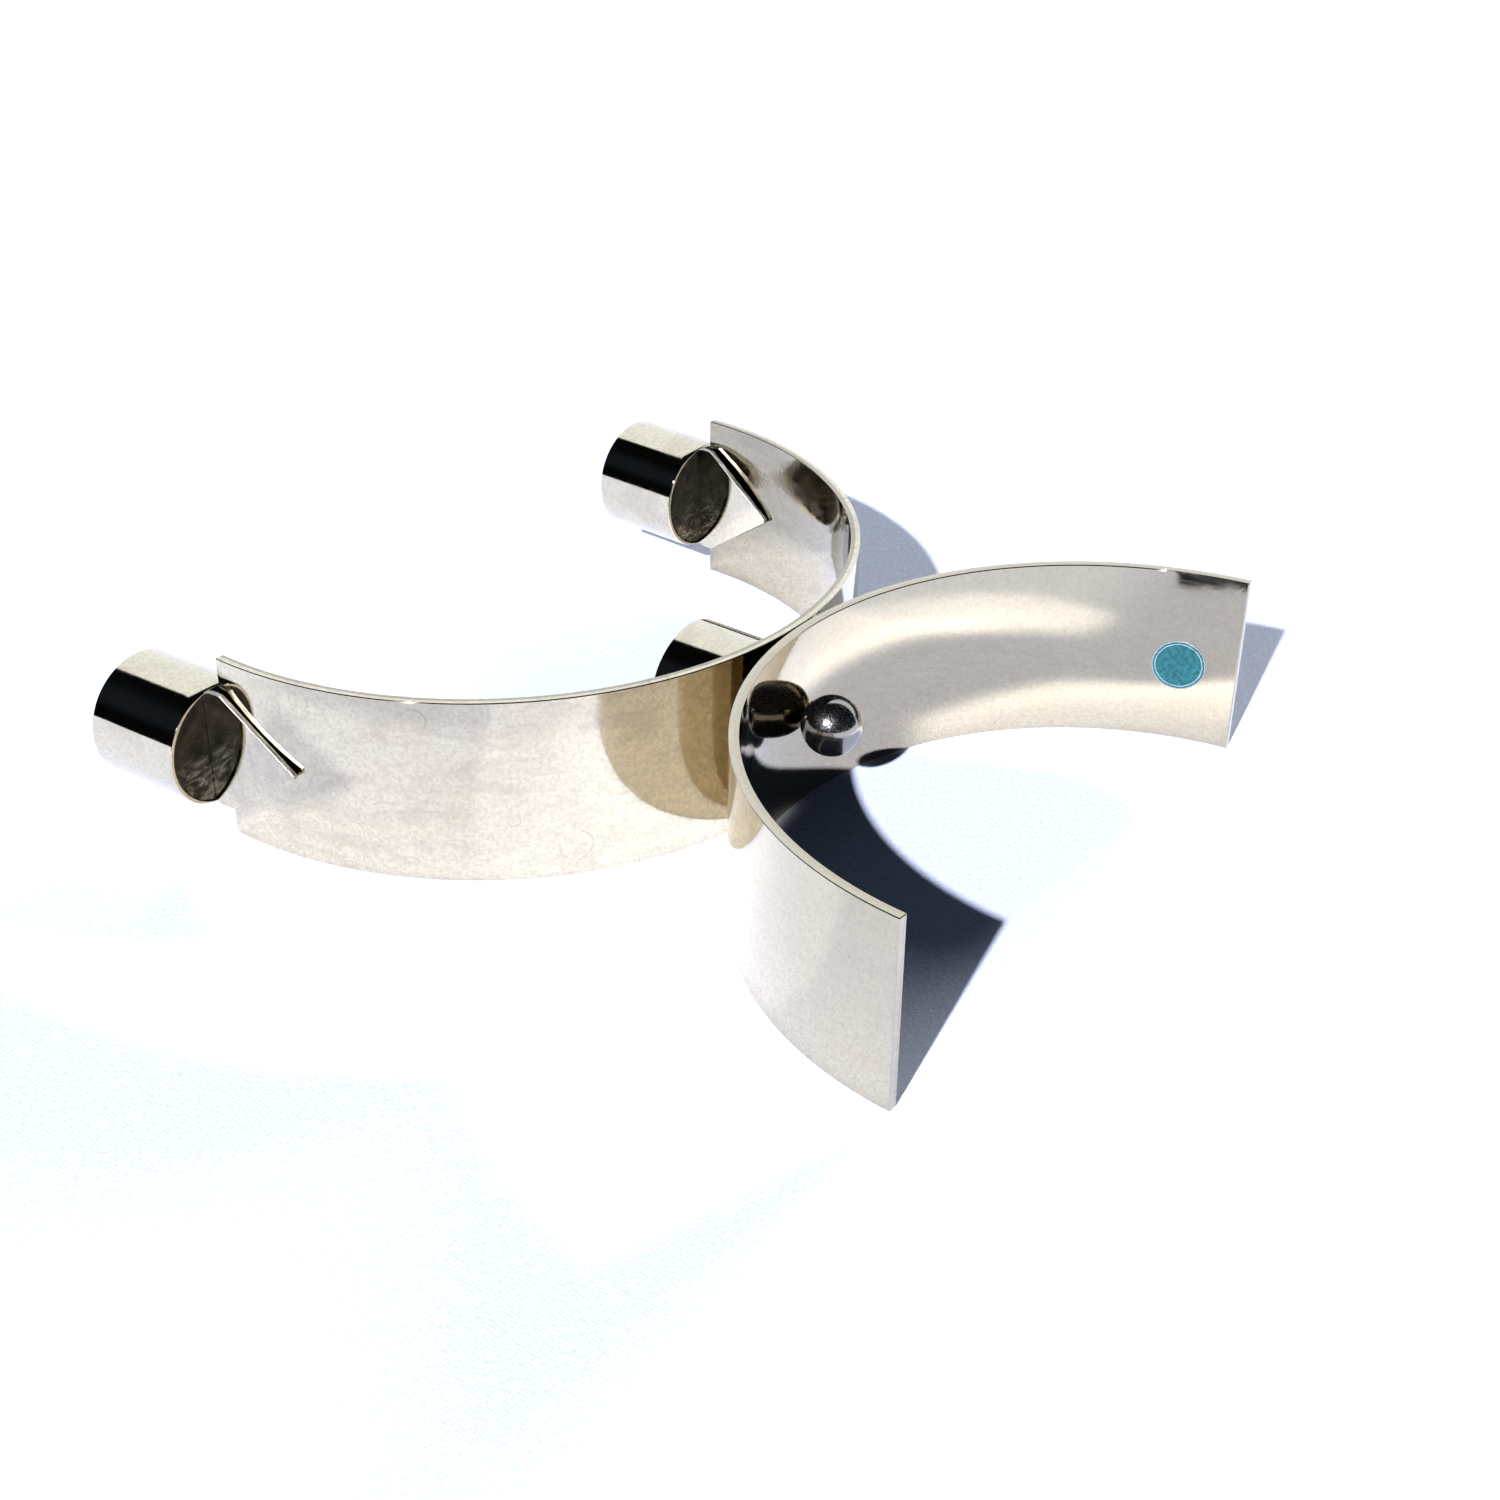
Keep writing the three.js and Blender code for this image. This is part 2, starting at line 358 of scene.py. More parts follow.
def rounded_plate(outline, thickness, edge, steps=5):
    """A flat plate on a convex outline, anticlockwise in (x, y), all its edges rounded to edge.
    It lies from z 0 to thickness."""
    n = len(outline)
    inset, turns = [], []
    for k in range(n):
        p, a, b = (Vector(outline[i % n]) for i in (k, k - 1, k + 1))
        na, nb = ((q - o).normalized() for o, q in ((a, p), (p, b)))
        na, nb = Vector((na.y, -na.x)), Vector((nb.y, -nb.x))
        bisector = (na + nb).normalized()
        inset.append(p - bisector * (edge / bisector.dot(na)))
        start, end = math.atan2(na.y, na.x), math.atan2(nb.y, nb.x)
        while end < start:
            end += 2 * math.pi
        turns.append((start, end))
    side = [(k, s + (e - s) * i / steps) for k, (s, e) in enumerate(turns) for i in range(steps + 1)]
    levels = [(math.radians(-90 + 90 * i / steps), edge) for i in range(1, steps + 1)]
    levels += [(math.radians(90 * i / steps), thickness - edge) for i in range(steps)]
    points, normals, faces = [], [], []
    for tilt, z in levels:
        for k, a in side:
            flat = Vector((math.cos(a), math.sin(a)))
            q = inset[k] + flat * edge * math.cos(tilt)
            points.append(Vector((q.x, q.y, z + edge * math.sin(tilt))))
            normals.append(Vector((flat.x * math.cos(tilt), flat.y * math.cos(tilt), math.sin(tilt))))
    count = len(side)
    for s in range(len(levels) - 1):
        for i in range(count):
            j = (i + 1) % count
            faces.append((s * count + i, s * count + j, (s + 1) * count + j, (s + 1) * count + i))
    per = steps + 1
    for first, z, up in ((0, 0.0, -1), ((len(levels) - 1) * count, thickness, 1)):
        cap = len(points)
        points += [Vector((q.x, q.y, z)) for q in inset]
        normals += [Vector((0, 0, up))] * n
        loops = []
        for k in range(n):
            for i in range(steps):
                loops.append((first + k * per + i, first + k * per + i + 1, cap + k))
            m = (k + 1) % n
            loops.append((first + k * per + steps, first + m * per, cap + m, cap + k))
        loops.append(tuple(range(cap, cap + n)))
        faces += [f if up > 0 else tuple(reversed(f)) for f in loops]
    return points, normals, faces


def add_tongue(cup, surface, edge_surface):
    """The flat pointed plate across the cup's base. Its root runs back to the end plate."""
    root = PLATE_RECESS + 0.05 * MM
    h = TONGUE_HALF_HEIGHT
    low_root = h - 0.75 * MM
    outline = [(root, -low_root), (root, low_root), (-1.6 * MM, h), (-TONGUE_STRAIGHT, h),
               (-TONGUE_LENGTH, 0.5 * MM), (-TONGUE_LENGTH, -0.5 * MM),
               (-TONGUE_STRAIGHT, -h), (-1.6 * MM, -h)]
    points, normals, faces = rounded_plate(outline, TONGUE_THICKNESS, TONGUE_EDGE)
    setback, lean = TONGUES[cup]
    turn = Matrix(((0, 0, 1), (0, 1, 0), (1, 0, 0)))  # plate x to cup z, plate z to cup x
    turn = Matrix.Rotation(lean, 3, "Y") @ turn
    points = [turn @ p + Vector((setback, 0, 0)) for p in points]
    normals = [turn @ n for n in normals]
    faces = [tuple(reversed(f)) for f in faces]
    along = [tuple(p) for p in points]
    points, normals = placed(cup_frame(cup), points, normals)
    name = cup + "_tongue"
    piece = add_mesh(name + "_smooth", points, normals, faces, surface, cup, [name], along)
    piece.data.materials.append(edge_surface)
    across = (cup_frame(cup).to_3x3() @ turn @ Vector((0, 0, 1))).normalized()
    for face in piece.data.polygons:
        if abs(face.normal.dot(across)) < 0.8:
            face.material_index = 1
    return piece


# ---------------------------------------------------------------- ball and sticker
def add_ball(surface):
    low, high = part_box("steel_ball")
    centre = (low + high) / 2
    rings = 64
    arc = [math.radians(-90 + 180 * k / rings) for k in range(rings + 1)]
    outline = [(BALL_RADIUS * math.cos(a), BALL_RADIUS * math.sin(a), math.cos(a), math.sin(a))
               for a in arc]
    points, normals, faces = lathe(lambda a: outline, 128, False)
    along = [tuple(p) for p in points]
    points = [p + centre for p in points]
    return add_mesh("steel_ball_smooth", points, normals, faces, surface, "ball",
                    ["steel_ball"], along)


def add_sticker(surface):
    """A round paper label pressed on the right band's inner face, its rim a little worn."""
    centre = JOINTS["right_band_roll"]["pos_m"]
    wall = RIGHT_RADIUS - BAND_THICKNESS - 0.02 * MM
    middle = math.radians(STICKER_ANGLE)
    rings, columns = 24, 128
    points, along, faces = [], [], []

    def put(x, y, lift):
        angle, r = middle - x / wall, wall - lift
        points.append(Vector((centre[0] + r * math.cos(angle), centre[1] + r * math.sin(angle),
                              STICKER_HEIGHT + y)))
        along.append((x, y, lift))

    def rim(a):
        return STICKER_RADIUS * (1 + 0.006 * noise.noise(Vector((3 * math.cos(a), 3 * math.sin(a), 1.7))))

    for k in range(1, rings + 1):
        for c in range(columns):
            a = 2 * math.pi * c / columns
            r = rim(a) * k / rings
            x, y = r * math.cos(a), r * math.sin(a)
            lift = STICKER_THICKNESS * (1 - 0.55 * (k / rings) ** 14)
            lift += 0.02 * MM * noise.noise(Vector((x, y, 0)) * 260)
            put(x, y, lift)
    for c in range(columns):
        a = 2 * math.pi * c / columns
        put(rim(a) * math.cos(a), rim(a) * math.sin(a), 0.0)
    top, bottom = len(points), len(points) + 1
    put(0, 0, STICKER_THICKNESS)
    put(0, 0, 0)
    for c in range(columns):
        n = (c + 1) % columns
        faces.append((c, n, top))
        for k in range(rings):
            faces.append((k * columns + n, k * columns + c, (k + 1) * columns + c, (k + 1) * columns + n))
        faces.append((rings * columns + n, rings * columns + c, bottom))
    mesh = bpy.data.meshes.new("round_sticker_paper")
    mesh.from_pydata([tuple(p) for p in points], [], faces)
    mesh.update()
    layer = mesh.attributes.new("along", "FLOAT_VECTOR", "POINT")
    layer.data.foreach_set("vector", [v for a in along for v in a])
    for p in mesh.polygons:
        p.use_smooth = p.index % (rings + 2) <= rings - 1
    mesh.materials.append(surface)
    piece = bpy.data.objects.new("round_sticker_paper", mesh)
    bpy.context.scene.collection.objects.link(piece)
    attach(piece, "right_band")
    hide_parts("round_sticker")
    return piece


# ---------------------------------------------------------------- materials
class Nodes:
    """Short names for building a material's node tree."""

    def __init__(self, name):
        self.material = bpy.data.materials.new(name)
        self.material.use_nodes = True
        self.tree = self.material.node_tree
        self.tree.nodes.clear()
        self.surface = self.tree.nodes.new("ShaderNodeBsdfPrincipled")
        out = self.tree.nodes.new("ShaderNodeOutputMaterial")
        self.tree.links.new(self.surface.outputs["BSDF"], out.inputs["Surface"])

    def node(self, kind, inputs=None, **settings):
        made = self.tree.nodes.new("ShaderNode" + kind)
        for key, value in settings.items():
            setattr(made, key, value)
        for key, value in (inputs or {}).items():
            self.feed(made.inputs[key], value)
        return made

    def feed(self, socket, value):
        if isinstance(value, bpy.types.NodeSocket):
            self.tree.links.new(value, socket)
        else:
            socket.default_value = value

    def attribute(self, name="along"):
        return self.node("Attribute", attribute_name=name).outputs["Vector"]

    def place(self, vector, scale=(1, 1, 1), rotation=(0, 0, 0), location=(0, 0, 0)):
        return self.node("Mapping", {"Vector": vector, "Scale": scale, "Rotation": rotation,
                                     "Location": location}).outputs["Vector"]

    def noise(self, vector, scale, detail=2.0, roughness=0.5, distortion=0.0):
        return self.node("TexNoise", {"Vector": vector, "Scale": scale, "Detail": detail,
                                      "Roughness": roughness, "Distortion": distortion}).outputs["Fac"]

    def math(self, kind, a, b=0.0, clamp=False):
        made = self.node("Math", operation=kind, use_clamp=clamp)
        self.feed(made.inputs[0], a)
        self.feed(made.inputs[1], b)
        return made.outputs[0]

    def span(self, value, low, high, to_low=0.0, to_high=1.0):
        sockets = {"Value": value, "From Min": low, "From Max": high, "To Min": to_low, "To Max": to_high}
        return self.node("MapRange", sockets, interpolation_type="SMOOTHSTEP").outputs["Result"]

    def mix(self, share, a, b, kind="MIX"):
        made = self.node("Mix", data_type="RGBA", blend_type=kind)
        self.feed(made.inputs[0], share)
        self.feed(made.inputs[6], a)
        self.feed(made.inputs[7], b)
        return made.outputs[2]

    def scratches(self, vector, turn, length, width, seed, keep):
        """Thin straight marks: noise stretched one way, with only its crests kept."""
        turned = self.place(vector, rotation=turn, location=(seed, seed * 0.7, seed * 1.3))
        stretched = self.place(turned, scale=(1 / length, 1 / width, 1 / width))
        return self.span(self.noise(stretched, 1.0, 3.0, 0.6), keep, keep + 0.1)

    def bump(self, height, distance, strength=1.0, under=None):
        inputs = {"Height": height, "Distance": distance, "Strength": strength}
        if under is not None:
            inputs["Normal"] = under
        return self.node("Bump", inputs).outputs["Normal"]


def rgb(r, g, b):
    return (r, g, b, 1.0)


NICKEL = rgb(0.690, 0.606, 0.435)
TARNISH = rgb(0.58, 0.475, 0.305)
GRIME = rgb(0.42, 0.366, 0.275)
BROWN = rgb(0.34, 0.23, 0.13)


def drop_rings(n, here, size, keep):
    """Thin brown outlines left by dried drops: rings about some of a Voronoi texture's points."""
    flat = n.place(here, scale=(1, 0, 1), rotation=(math.pi / 2, 0, 0))
    cloud = n.node("TexNoise", {"Vector": flat, "Scale": 420.0}).outputs["Color"]
    wobble = n.node("VectorMath", {0: cloud, 1: (0.5, 0.5, 0.5)}, operation="SUBTRACT").outputs["Vector"]
    bent = n.node("VectorMath", {0: wobble, "Scale": 0.0012}, operation="SCALE").outputs["Vector"]
    bent = n.node("VectorMath", {0: flat, 1: bent}, operation="ADD").outputs["Vector"]
    cells = n.node("TexVoronoi", {"Vector": bent, "Scale": 1 / size, "Randomness": 0.8},
                   voronoi_dimensions="2D")
    pick = n.node("SeparateColor", {0: cells.outputs["Color"]}).outputs
    radius = n.span(pick[1], 0.0, 1.0, 0.07, 0.16)
    off = n.math("ABSOLUTE", n.math("SUBTRACT", cells.outputs["Distance"], radius))
    ring = n.span(off, 0.016, 0.004)
    chosen = n.span(pick[0], keep, keep + 0.01)
    broken = n.span(n.noise(flat, 260.0, 2.0), 0.38, 0.55)
    return n.math("MULTIPLY", n.math("MULTIPLY", ring, chosen), broken)


def steel(name, clean=NICKEL, tarnish=TARNISH, haze=0.05, tarnish_share=0.35, wave=1.0, seed=0.0,
          inside=None, rings=False, scratched=0.22, scatter=0.0):
    """Polished nickel-bright steel: cleaning swirls, hair scratches, faint warm tarnish and specks.
    inside is a painted shade: a darker tint on the hollow side of a band, standing in for the dimmer
    things that side reflects;
    rings adds the marks of dried drops; scatter is the added roughness of fine pits and scratches, which
    spread the sun's glint."""
    n = Nodes(name)
    raw = n.attribute()
    here = n.place(raw, location=(seed, seed * 2, seed * 3))
    cloud = n.noise(here, 26.0, 4.0, 0.6, 0.4)
    smear = n.noise(n.place(here, scale=(1, 1, 2.6), rotation=(0, 0.5, 0)), 55.0, 5.0, 0.62, 1.4)
    swirl = n.noise(here, 160.0, 3.0, 0.55, 2.2)
    grain = n.noise(here, 950.0, 3.0, 0.7)
    lines = n.scratches(here, (0, 0.05, 0), 0.030, 0.00022, seed + 1.1, 0.60)
    lines2 = n.scratches(here, (0, 0.62, 0), 0.012, 0.00018, seed + 2.3, 0.62)
    lines3 = n.scratches(here, (0, -0.9, 0), 0.009, 0.00018, seed + 4.1, 0.63)
    marks = n.math("MAXIMUM", lines, n.math("MAXIMUM", lines2, lines3))
    specks = n.span(n.noise(here, 900.0, 2.0, 0.5), 0.74, 0.80)
    stain = n.span(cloud, 0.50, 0.72, 0.0, tarnish_share)
    colour = n.mix(stain, clean, tarnish)
    colour = n.mix(n.span(smear, 0.44, 0.70, 0.0, 0.55), colour, rgb(0.50, 0.43, 0.315))
    colour = n.mix(n.span(grain, 0.38, 0.68, 0.0, 0.42), colour, GRIME)
    # Painted shade: the hollow side of a band is darkened, standing in for the dimmer things it reflects.
    if inside is not None:
        depth = n.node("SeparateXYZ", {0: raw}).outputs[1]
        colour = n.mix(n.span(depth, 0.0002, -0.0002), colour, inside, "MULTIPLY")
    colour = n.mix(n.math("MULTIPLY", marks, scratched), colour, GRIME)
    colour = n.mix(n.math("MULTIPLY", specks, 0.5), colour, rgb(0.25, 0.21, 0.16))
    if rings:
        elsewhere = n.place(here, location=(0.4, 0, 0.7))
        drops = n.math("MAXIMUM", drop_rings(n, here, 0.030, 0.62), drop_rings(n, elsewhere, 0.017, 0.80))
        colour = n.mix(n.math("MULTIPLY", drops, 0.30), colour, BROWN)
    n.feed(n.surface.inputs["Base Color"], colour)
    n.surface.inputs["Metallic"].default_value = 1.0
    rough = n.math("ADD", n.span(smear, 0.40, 0.80, haze * 0.7, haze * 1.9),
                   n.math("MULTIPLY", marks, 0.05))
    if scatter:
        pits = n.span(n.noise(here, 5200.0, 2.0, 0.6), 0.54, 0.60, 0.0, scatter)
        rough = n.math("ADD", rough, n.math("MAXIMUM", pits, n.math("MULTIPLY", marks, scatter)))
    rough = n.math("ADD", rough, n.span(swirl, 0.45, 0.75, 0.0, haze * 0.6))
    n.feed(n.surface.inputs["Roughness"], rough)
    slow = n.bump(n.noise(here, 38.0, 1.0, 0.4), 0.00006 * wave)
    fine = n.bump(swirl, 0.000012 * wave, 0.6, slow)
    n.feed(n.surface.inputs["Normal"], n.bump(marks, 0.0000012, 0.6, fine))
    return n.material


def ground_steel(name, seed):
    """The tongue's sawn and ground edges: fine marks along them, grey and rather rough."""
    n = Nodes(name)
    here = n.place(n.attribute(), location=(seed, seed * 2, seed * 3))
    lines = n.noise(n.place(here, scale=(1, 0.04, 0.04)), 4200.0, 3.0, 0.6)
    cloud = n.noise(here, 300.0, 3.0, 0.6)
    colour = n.mix(n.span(lines, 0.38, 0.62), rgb(0.16, 0.145, 0.12), rgb(0.66, 0.63, 0.56))
    colour = n.mix(n.span(cloud, 0.55, 0.75, 0.0, 0.5), colour, GRIME)
    n.feed(n.surface.inputs["Base Color"], colour)
    n.surface.inputs["Metallic"].default_value = 1.0
    n.feed(n.surface.inputs["Roughness"], n.span(lines, 0.3, 0.7, 0.34, 0.46))
    n.feed(n.surface.inputs["Normal"], n.bump(lines, 0.00001, 0.5))
    return n.material


def plate_steel(name, seed):
    """The smooth end plate in the cup's base: browned steel set near black as painted shade for the dark
    things it reflects, smeared with pale dust, lighter in its lower half as painted sunlight, and with a
    few pits.
    """
    n = Nodes(name)
    raw = n.attribute()
    here = n.place(raw, location=(seed, seed * 2, seed * 3))
    cloud = n.noise(here, 120.0, 5.0, 0.65, 1.0)
    dust = n.noise(n.place(here, scale=(1, 1.5, 1), rotation=(0, 0, 0.6)), 170.0, 6.0, 0.72, 2.0)
    marks = n.scratches(here, (0, 0, 0.5), 0.008, 0.00022, seed, 0.60)
    # Painted sunlight: the pale dust is laid on thickly in the lower half, where the sun reaches the
    # plate past the rim.
    sunlit_lower_half = n.span(n.node("SeparateXYZ", {0: raw}).outputs[1], 0.002, -0.006)
    # Painted shade: the base is near black, standing in for the dark things the plate reflects; the brown
    # tint is its own.
    colour = n.mix(n.span(cloud, 0.35, 0.70), rgb(0.016, 0.013, 0.009), rgb(0.050, 0.042, 0.029))
    colour = n.mix(n.math("MULTIPLY", n.span(dust, 0.46, 0.66), n.span(sunlit_lower_half, 0, 1, 0.06, 0.75)),
                   colour, rgb(0.22, 0.205, 0.175))
    colour = n.mix(n.math("MULTIPLY", marks, 0.12), colour, rgb(0.30, 0.28, 0.24))
    pits = n.span(n.noise(here, 420.0, 2.0, 0.5), 0.71, 0.76, 0.0, 0.9)
    colour = n.mix(pits, colour, rgb(0.006, 0.005, 0.004))
    n.feed(n.surface.inputs["Base Color"], colour)
    n.surface.inputs["Metallic"].default_value = 1.0
    n.feed(n.surface.inputs["Roughness"],
           n.math("ADD", n.span(dust, 0.35, 0.75, 0.05, 0.24), n.math("MULTIPLY", marks, 0.05)))
    n.feed(n.surface.inputs["Normal"], n.bump(n.math("ADD", cloud, marks), 0.000004, 0.5))
    return n.material


def ferrite():
    """The magnets' dull dark ceramic."""
    n = Nodes("ferrite_dark")
    here = n.node("TexCoord").outputs["Object"]
    grit = n.noise(here, 1500.0, 4.0, 0.7)
    colour = n.mix(grit, rgb(0.018, 0.018, 0.020), rgb(0.055, 0.053, 0.055))
    n.feed(n.surface.inputs["Base Color"], colour)
    n.feed(n.surface.inputs["Roughness"], n.span(grit, 0.3, 0.7, 0.45, 0.75))
    n.feed(n.surface.inputs["Normal"], n.bump(grit, 0.00005, 0.6))
    return n.material


def sticker_paper():
    """Satin teal label: a thin pale ring printed inside the rim, fibres, scuffs and a worn edge."""
    n = Nodes("sticker_teal")
    here = n.attribute()
    flat = n.place(here, scale=(1, 1, 0))
    radius = n.node("VectorMath", {0: flat}, operation="LENGTH").outputs["Value"]
    wobble = n.math("MULTIPLY", n.math("SUBTRACT", n.noise(flat, 500.0, 3.0, 0.6), 0.5), 0.0005)
    reach = n.math("ADD", radius, wobble)
    mottle = n.noise(flat, 700.0, 4.0, 0.65)
    fibre = n.noise(n.place(flat, scale=(1, 3, 1), rotation=(0, 0, 0.4)), 2600.0, 3.0, 0.6)
    teal = n.mix(n.span(mottle, 0.3, 0.7), rgb(0.003, 0.045, 0.052), rgb(0.012, 0.125, 0.125))
    teal = n.mix(n.span(fibre, 0.5, 0.8, 0.0, 0.25), teal, rgb(0.05, 0.16, 0.19))
    inside = n.span(reach, 0.00615, 0.00625)
    outside = n.span(reach, 0.00650, 0.00640)
    ring = n.math("MULTIPLY", n.math("MULTIPLY", inside, outside), n.span(mottle, 0.25, 0.45, 0.3, 0.85))
    colour = n.mix(ring, teal, rgb(0.30, 0.36, 0.34))
    scuff = n.span(n.noise(flat, 330.0, 5.0, 0.7, 0.8), 0.62, 0.72, 0.0, 0.45)
    colour = n.mix(scuff, colour, rgb(0.05, 0.18, 0.20))
    worn = n.span(reach, 0.00685, 0.00715, 0.0, 0.9)
    colour = n.mix(worn, colour, rgb(0.34, 0.38, 0.35))
    n.feed(n.surface.inputs["Base Color"], colour)
    n.feed(n.surface.inputs["Roughness"], n.span(mottle, 0.3, 0.7, 0.36, 0.55))
    n.surface.inputs["Specular IOR Level"].default_value = 0.3
    n.feed(n.surface.inputs["Normal"], n.bump(n.math("ADD", fibre, mottle), 0.00002, 0.5))
    return n.material


# ---------------------------------------------------------------- the pieces
# Painted shade: the right band's steel is set darker all over than the left's, standing in for the dimmer
# light it reflects; the inside tints darken both bands' hollow sides the same way.
band_steel = steel("band_steel_left", inside=rgb(0.61, 0.605, 0.60), rings=True)
band_steel_right = steel("band_steel_right", clean=rgb(0.525, 0.465, 0.338), seed=7.3,
                         inside=rgb(0.94, 0.925, 0.90), tarnish_share=0.5)
left_centre = JOINTS["centre_cup_travel"]["pos_m"]
right_centre = JOINTS["right_band_roll"]["pos_m"]
left = band("left_band", left_centre, LEFT_RADIUS, LEFT_ENDS, band_steel, "left_band")
right = band("right_band", right_centre, RIGHT_RADIUS, RIGHT_ENDS, band_steel_right, "right_band",
             far_end_set)
left.name, right.name = "left_band_smooth", "right_band_smooth"

for number, (cup, tongued) in enumerate((("near_cup", True), ("far_cup", True), ("centre_cup", False))):
    cup_steel = steel(cup + "_steel", clean=rgb(0.67, 0.59, 0.43), haze=0.045, tarnish_share=0.2,
                      wave=0.5, seed=11.0 + 3 * number)
    dull = plate_steel(cup + "_plate_steel", 2.0 + 5 * number)
    add_tube(cup, tongued, cup_steel)
    add_disc(cup, "_end_plate", PLATE_RECESS, PLATE_BACK, dull)
    add_disc(cup, "_floor", FLOOR_BOTTOM, FLOOR_TOP, dull)
    if tongued:
        add_tongue(cup, cup_steel, ground_steel(cup + "_ground_steel", 3.0 + number))

# Painted shade: the ball's steel is set far darker than the bands' and cups', standing in for the dark
# room it reflects.
add_ball(steel("ball_steel_polished", clean=rgb(0.33, 0.315, 0.29), haze=0.075, tarnish_share=0.15,
               wave=0.35, seed=31.0, scratched=0.45, scatter=0.26))
add_sticker(sticker_paper())

dark_ferrite = ferrite()
for magnet in ("near_cup_magnet", "far_cup_magnet", "centre_cup_magnet"):
    frame["nodes"][magnet].data.materials.clear()
    frame["nodes"][magnet].data.materials.append(dark_ferrite)


# ---------------------------------------------------------------- floor, light and surroundings
SUN_WAY = Vector((-0.164, 0.818, -0.552)).normalized()
SUN_POWER = 6.9
FILL_WAY = Vector((0.10, -0.97, -0.20)).normalized()
FILL_POWER = 6.6
GLINT_LOW = (-0.24, -0.22)  # corners of the part of the floor that the bands throw light on
GLINT_HIGH = (0.19, 0.20)
GLINT_STEP = 0.0015
STEEL_SHARE = 0.62  # of the light, at each reflection
THROWN_SHARE = 0.80  # of the traced light, as the cloth shows it
NUDGE = 0.00002  # off a surface, so that a ray doesn't hit where it starts
BOUNCES = 3


def thrown_light():
    """Sunlight that the polished bands throw on the floor, traced ray by ray onto a grid of cells.
    Gives the cells' irradiance next to the sun's own, and the grid's size."""
    points, faces = [], []
    for piece in bpy.context.scene.objects:
        if piece.type != "MESH" or not piece.name.endswith("_smooth"):
            continue
        start = len(points)
        points += [v.co.copy() for v in piece.data.vertices]
        faces += [[start + i for i in p.vertices] for p in piece.data.polygons]
    tree = BVHTree.FromPolygons(points, faces)
    nx = round((GLINT_HIGH[0] - GLINT_LOW[0]) / GLINT_STEP) + 1
    ny = round((GLINT_HIGH[1] - GLINT_LOW[1]) / GLINT_STEP) + 1
    cells = np.zeros((ny, nx))
    bands = ((left_centre, LEFT_RADIUS, LEFT_ENDS), (right_centre, RIGHT_RADIUS, RIGHT_ENDS))
    columns, rows = 900, 56
    for centre, radius, ends in bands:
        for wall, side in ((radius, 1), (radius - BAND_THICKNESS, -1)):
            span = math.radians(ends[1] - ends[0])
            for c in range(columns):
                angle = math.radians(ends[0]) + span * (c + 0.5) / columns
                out = Vector((math.cos(angle), math.sin(angle), 0)) * side
                facing = -SUN_WAY.dot(out)
                if facing <= 0:
                    continue
                foot = Vector((centre[0], centre[1], 0)) + out * side * wall + out * NUDGE
                area = wall * span / columns * BAND_HEIGHT / rows
                for r in range(rows):
                    at = foot + Vector((0, 0, BAND_HEIGHT * (r + 0.5) / rows))
                    if tree.ray_cast(at, -SUN_WAY, 1.0)[0] is not None:
                        continue
                    way, share = SUN_WAY.reflect(out), STEEL_SHARE
                    for _ in range(BOUNCES):
                        hit, normal, _, _ = tree.ray_cast(at, way, 1.0)
                        if hit is None:
                            break
                        at = hit + normal * NUDGE
                        way, share = way.reflect(normal), share * STEEL_SHARE
                    if hit is not None or way.z > -0.02:
                        continue
                    x, y = (at - way * (at.z / way.z)).xy
                    i, k = (x - GLINT_LOW[0]) / GLINT_STEP, (y - GLINT_LOW[1]) / GLINT_STEP
                    i0, k0 = int(i), int(k)
                    if 0 <= i0 < nx - 1 and 0 <= k0 < ny - 1:
                        light = area * facing * share / GLINT_STEP ** 2
                        u, v = i - i0, k - k0
                        cells[k0, i0] += light * (1 - u) * (1 - v)
                        cells[k0, i0 + 1] += light * u * (1 - v)
                        cells[k0 + 1, i0] += light * (1 - u) * v
                        cells[k0 + 1, i0 + 1] += light * u * v
    for _ in range(5):  # the sun's own width and the steel's haze
        cells[1:-1] = (cells[:-2] + 2 * cells[1:-1] + cells[2:]) / 4
        cells[:, 1:-1] = (cells[:, :-2] + 2 * cells[:, 1:-1] + cells[:, 2:]) / 4
    cells = 1.6 * cells / (1 + cells)  # the brightest parts are held back
    cells[0], cells[-1], cells[:, 0], cells[:, -1] = 0, 0, 0, 0
    return cells, nx, ny


